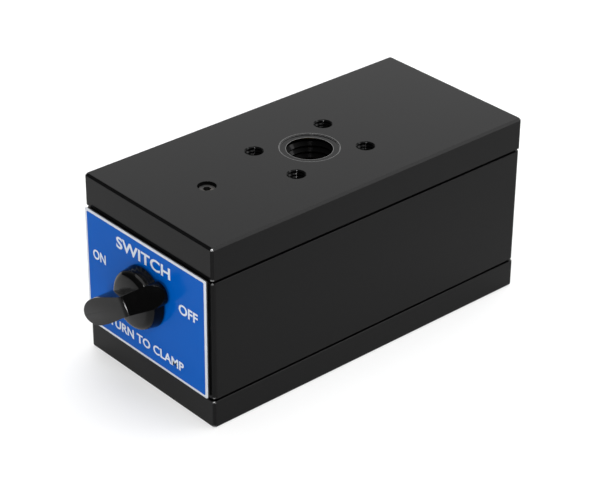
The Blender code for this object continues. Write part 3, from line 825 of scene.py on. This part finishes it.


# %% [markdown]
# The dark layer is a shade smaller than the foil, so that it doesn't show, and the ink leaves the
# border bare. The holes let the shaft pass, and the ink stops a little short of the foil's hole.

# %% Pad, foil and blue panel
BORDER = 0.85 * MM
INSET = 0.25 * MM
CORNER = 0.5 * MM
PANEL_CORNER = 0.4 * MM
FOIL = 0.3 * MM
FOIL_EDGE = 0.06 * MM
INK = 0.05 * MM
SHAFT_CLEARANCE = 4.2 * MM
PANEL_CLEARANCE = 5.2 * MM
foil = film("label_foil", label_outline(0, CORNER), label_face + FOIL, FOIL, SHAFT_CLEARANCE)
foil = smoothed(plain(soften(foil, FOIL_EDGE, 2)))
adopt(foil, foil_silver, "base", "label_blue", "label_plate")
# A dark matt layer behind the foil, a shade smaller than it, seen only at the label's edge.
dark_backing = film("label_pad", label_outline(INSET, CORNER), label_high.y,
           label_high.y - label_face - FOIL, SHAFT_CLEARANCE)
adopt(dark_backing, seal_rubber, "base", "label_blue")
panel = film("label_panel", label_outline(BORDER, PANEL_CORNER), label_face, INK,
             PANEL_CLEARANCE)
adopt(panel, blue_ink, "base", "label_blue")

# %% [markdown]
# ## Lettering
#
# The words are generic ones that say what the knob does. Each is a text object in Blender's own
# font, thickened to a film of ink, and sized by its cap height and its width, because a sign
# writer fits a word to its space. The figures in a row are the left, right, bottom and top of a
# word, in millimetres.

# %% Words on the label
STROKE_WEIGHT = 0.022


def word(name, text, left, right, bottom, top):
    """Capitals between four lines on the label, raised a little from the blue panel."""
    curve = bpy.data.curves.new(name, "FONT")
    curve.body = text
    curve.size = 1.0
    curve.offset = STROKE_WEIGHT
    curve.extrude = 0.5
    curve.resolution_u = 4
    item = plain(new_object(name, curve))
    xs = [v.co.x for v in item.data.vertices]
    ys = [v.co.y for v in item.data.vertices]
    scale_x = (right - left) / (max(xs) - min(xs))
    scale_y = (top - bottom) / (max(ys) - min(ys))
    for vert in item.data.vertices:
        x = left + (vert.co.x - min(xs)) * scale_x
        z = bottom + (vert.co.y - min(ys)) * scale_y
        vert.co = (x, label_face - INK * (1.4 + 0.6 * vert.co.z), z)
    item.data.update()
    return item


LEGENDS = (
    ("legend_top", "SWITCH", -12.6, 11.9, 41.3, 45.1),
    ("legend_on", "ON", -24.1, -18.1, 32.7, 35.9),
    ("legend_off", "OFF", 15.4, 23.7, 32.6, 35.9),
    ("legend_bottom", "TURN TO CLAMP", -17.6, 17.0, 13.5, 16.5),
)
for name, text, left, right, bottom, top in LEGENDS:
    legend = word(name, text, left * MM, right * MM, bottom * MM, top * MM)
    adopt(legend, white_ink, "base", "label_blue")

# %% [markdown]
# ## The knob
#
# The knob is one moulding: a round hub with a bar across it. One end of the bar reaches out as the
# lever, and beyond the hub's middle its crest falls away in a ramp. The bar and the hub are made
# apart, with rounded edges, and then joined with a Boolean, so the moulded crease stays where they
# meet. They are drawn with the bar along X and with heights from the block's end, and turned to
# the bar's angle when they are done.

# %% The knob's sizes
LEVER_ANGLE = 31.0
KNOB_BASE = block_low.y - knob_high.y
CREST = block_low.y - knob_low.y
CREST_END = 5.0 * MM
CREST_FILLET = 2.4 * MM
LEVER_REACH = 17.0 * MM
LEVER_HALF_WIDTH = 4.1 * MM
LEVER_UNDERSIDE = 5.0 * MM
TIP_LENGTH = 8.0 * MM
TAIL_REACH = 12.8 * MM
TAIL_RADIUS = 3.6 * MM
TAIL_HEIGHT = 2.6 * MM
BAR_LIFT = 0.4 * MM
BAR_EDGE = 0.65 * MM
HUB_CLEAR = 9.8 * MM
HUB_RADIUS = 9.0 * MM
HUB_FILLET = 2.2 * MM
SKIRT_RADIUS = 9.4 * MM
SKIRT_EDGE = 0.3 * MM
DOME = 6.9 * MM
print("knob's crest over the block's end in mm:", round(CREST / MM, 1))

# %% [markdown]
# Two helpers make solids from a drawn line: one spins it, and the other raises it straight up.

# %% Solids from profiles
def turned(name, profile):
    """Spin (radius, height) points, listed down the outer side, about local Z."""
    shape = bmesh.new()
    verts = [shape.verts.new((radius, 0.0, height)) for radius, height in profile]
    edges = [shape.edges.new(pair) for pair in zip(verts, verts[1:])]
    bmesh.ops.spin(shape, geom=verts + edges, cent=(0, 0, 0), axis=(0, 0, 1),
                   angle=math.tau, steps=96, use_merge=True)
    bmesh.ops.remove_doubles(shape, verts=shape.verts, dist=0.001 * MM)
    bmesh.ops.recalc_face_normals(shape, faces=shape.faces)
    return from_bmesh(name, shape)


def prism(name, points, low, high):
    """A flat outline in local XY, as a solid between two heights."""
    shape = bmesh.new()
    base = shape.faces.new([shape.verts.new((x, y, low)) for x, y in points])
    grown = bmesh.ops.extrude_face_region(shape, geom=[base])["geom"]
    top = [item for item in grown if isinstance(item, bmesh.types.BMVert)]
    bmesh.ops.translate(shape, vec=(0, 0, high - low), verts=top)
    bmesh.ops.recalc_face_normals(shape, faces=shape.faces)
    return from_bmesh(name, shape)


# %% [markdown]
# The bar is two drawings crossed. Seen from the front it has a long round tip, a waist over the
# hub, and a small round tail. Seen from the side it has the level crest, the ramp and the lever's
# underside. `WAIST` gives places along the bar and its half width there, in millimetres.

# %% The bar
WAIST = ((-6.0, 4.0), (-3.0, 3.75), (0.0, 3.4), (3.0, 3.05), (5.5, 2.95), (7.5, 3.2))


def make_bar():
    """The bar's plan, crossed with its side view, with its edges rounded."""
    stretch = TIP_LENGTH / LEVER_HALF_WIDTH
    tip = [(TIP_LENGTH - LEVER_REACH + x * stretch, y)
           for x, y in arc((0, 0), LEVER_HALF_WIDTH, 90, 270, 36)]
    tail = arc((TAIL_REACH - TAIL_RADIUS, 0), TAIL_RADIUS, -80, 80, 24)
    lower = [(x * MM, -half * MM) for x, half in WAIST]
    upper = [(x, -y) for x, y in reversed(lower)]
    plan = prism("knob_bar", tip + lower + tail + upper, KNOB_BASE + BAR_LIFT, CREST)
    slope = math.atan2(CREST - TAIL_HEIGHT, TAIL_REACH - CREST_END)
    start = CREST_END - CREST_FILLET * math.tan(slope / 2)
    foot = TAIL_REACH + TAIL_HEIGHT / math.tan(slope)
    far = 30 * MM
    side = [(-far, LEVER_UNDERSIDE), (-far, CREST)]
    side += arc((start, CREST - CREST_FILLET), CREST_FILLET, 90, 90 - math.degrees(slope), 8)
    side += [(foot, 0.0), (-HUB_CLEAR, 0.0), (-HUB_CLEAR, LEVER_UNDERSIDE)]
    view = prism("side_view", side, -far, far)
    view.data.transform(Matrix.Rotation(math.radians(90), 4, "X"))
    return plain(soften(combine(plan, view, "INTERSECT"), BAR_EDGE, 5))


# %% [markdown]
# The hub is spun, with a low dome and a skirt. Two rooms are cut in it: one from behind for the
# brass insert that grips the shaft, and one from the side for the set screw.

# %% The whole knob
INSERT_ROOM = 6.5 * MM
INSERT_TOP = 5.7 * MM
SET_SCREW_ROOM = 1.5 * MM
SET_SCREW_HEIGHT = 3.9 * MM
lying = Matrix.Rotation(math.radians(90), 4, "X")
profile = [(0, DOME), (HUB_RADIUS - 2 * HUB_FILLET, DOME - 0.08 * MM)]
profile += arc((HUB_RADIUS - HUB_FILLET, DOME - 2.5 * MM), HUB_FILLET, 78, 4, 12)
profile += [(SKIRT_RADIUS, KNOB_BASE + SKIRT_EDGE), (SKIRT_RADIUS - SKIRT_EDGE, KNOB_BASE),
            (0, KNOB_BASE)]
insert_room = cylinder("insert_room", 0, 0, INSERT_ROOM, 0, INSERT_TOP)
screw_room = cylinder("set_screw_room", 0, 0, SET_SCREW_ROOM, INSERT_ROOM - MM,
                      2 * HUB_RADIUS, 24)
screw_room.data.transform(Matrix.Translation((0, 0, SET_SCREW_HEIGHT)) @ lying)
knob = combine(turned("knob", profile), make_bar(), "UNION", "MANIFOLD")
for room in (insert_room, screw_room):
    knob = combine(knob, room, "DIFFERENCE", "MANIFOLD")
knob.data.transform(Matrix.Translation((axis_x, block_low.y, axis_z)) @ lying
                    @ Matrix.Rotation(math.radians(LEVER_ANGLE), 4, "Z"))
adopt(smoothed(knob, 32), knob_plastic, "switch", "black_plastic", "knob_body")

# %% [markdown]
# ## Finishes for the pieces that stay as they are
#
# Pins, screws, spacers and magnets already have the right shape, and most of them are out of sight
# inside the bore. Each only needs the finish of its own material slot, or the sprayed brass.

# %% Dress the loaded pieces
slot_finish = {"brass": brass, "steel": steel, "black_oxide": oxide, "ferrite": ferrite,
               "rubber": seal_rubber, "nylon": nylon, "black_paint": slab_enamel,
               "label_blue": foil_silver, "black_plastic": knob_plastic}
for part in frame["record"]["subparts"]:
    item = frame["nodes"][part["node"]]
    spacer = part["node"].startswith("spacer")
    item.data.materials.clear()
    item.data.materials.append(spacer_brass if spacer else slot_finish[part["material_slot"]])
    smoothed(item)

# %% [markdown]
# ## Floor, light and camera
#
# The block stands on a pale floor under soft light. Black gloss shows nothing but reflections, so
# the light is placed for what each face mirrors: the floor itself for the ends and sides, and a
# wide panel behind and to the left for the top. Three small lamps in front give the sparks on the
# knob's crest and on the block's corners.

# %% Floor
paper = Finish("floor_paper")
paper.surface({"Base Color": grey(0.43), "Roughness": 0.9, "Specular IOR Level": 0.1,
               "Emission Color": grey(1.0), "Emission Strength": 0.52})
shape = bmesh.new()
bmesh.ops.create_grid(shape, x_segments=8, y_segments=8, size=6.0)
floor = from_bmesh("floor", shape)
floor.location.z = block_low.z - 0.05 * MM
floor.data.materials.append(paper.material)

# %% [markdown]
# Every lamp faces the middle of the block. A row in the table says where it stands: its bearing
# and its height in degrees, and its distance in metres. Then come its width and its height in
# metres, and its power in watts. The lamps are out of the camera's sight.

# %% Lamps
LAMPS = (
    ("overhead", 190, 76, 2.0, 2.4, 2.4, 50.0),
    ("back_panel", 228, 30, 1.5, 1.7, 1.0, 3.2),
    ("right_back_panel", 139, 42, 1.6, 0.5, 0.5, 3.0),
    ("front_spark", 16, 3, 1.2, 0.20, 0.10, 3.6),
    ("corner_spark", 39, 59.7, 1.2, 0.12, 0.12, 2.4),
    ("camera_spark", 41.1, 40.2, 1.2, 0.10, 0.10, 2.6),
)
middle = (block_low + block_high) / 2


def towards(azimuth, elevation):
    """The unit vector from the block to a bearing and a height in degrees; 0 is the label's end."""
    turn, lift = math.radians(azimuth), math.radians(elevation)
    return Vector((math.sin(turn) * math.cos(lift), -math.cos(turn) * math.cos(lift),
                   math.sin(lift)))


for name, azimuth, elevation, distance, width, height, power in LAMPS:
    data = bpy.data.lights.new(name, "AREA")
    data.shape = "RECTANGLE"
    data.size = width
    data.size_y = height
    data.energy = power
    lamp = new_object(name, data)
    lamp.location = middle + towards(azimuth, elevation) * distance
    lamp.rotation_euler = towards(azimuth, elevation).to_track_quat("Z", "Y").to_euler()
    lamp.visible_camera = False
print("lamps:", len(LAMPS))

# %% [markdown]
# The room itself glows too, more strongly behind the block than in front of it.

# %% Room
world = bpy.data.worlds.new("studio_room")
world.use_nodes = True
room = Graph(world.node_tree)
direction = room.node("ShaderNodeTexCoord", output="Generated")
towards_back = room.node("ShaderNodeVectorMath", {"operation": "DOT_PRODUCT"},
                         {0: direction, 1: (-0.10, 0.93, 0.35)}, output="Value")
glow = 0.05 + towards_back.step(-0.2, 0.8) * 0.70
sky = room.node("ShaderNodeBackground", None, {"Color": grey(1.0), "Strength": glow})
room.node("ShaderNodeOutputWorld", None, {"Surface": sky})
bpy.context.scene.world = world
bpy.context.scene.view_settings.view_transform = "Standard"
print("room:", len(world.node_tree.nodes), "nodes")

# %% [markdown]
# The camera stands to the right of the label and looks down on the top, from about eleven times
# the block's width away, so the edges converge only a little. Two small shifts and a slight roll
# place the block in the frame.

# %% Camera
AZIMUTH = 48.44
ELEVATION = 30.09
ROLL = math.radians(0.461)
DISTANCE = 0.6315
SHIFT_RIGHT = -2.336 * MM
SHIFT_UP = -2.703 * MM
FOCAL_LENGTH = 126.95
SENSOR_WIDTH = 36.0
back = towards(AZIMUTH, ELEVATION)
right = towards(AZIMUTH + 90, 0)
up = back.cross(right)
rolled_right = math.cos(ROLL) * right + math.sin(ROLL) * up
rolled_up = math.cos(ROLL) * up - math.sin(ROLL) * right
lens = bpy.data.cameras.new("camera")
lens.lens = FOCAL_LENGTH
lens.sensor_width = SENSOR_WIDTH
lens.clip_start = 0.01
camera = new_object("camera", lens)
axes = Matrix((rolled_right, rolled_up, back)).transposed().to_4x4()
camera.matrix_world = Matrix.Translation(
    middle + back * DISTANCE + rolled_right * SHIFT_RIGHT + rolled_up * SHIFT_UP) @ axes
bpy.context.scene.camera = camera
print("camera in mm:", [round(value / MM) for value in camera.matrix_world.translation])
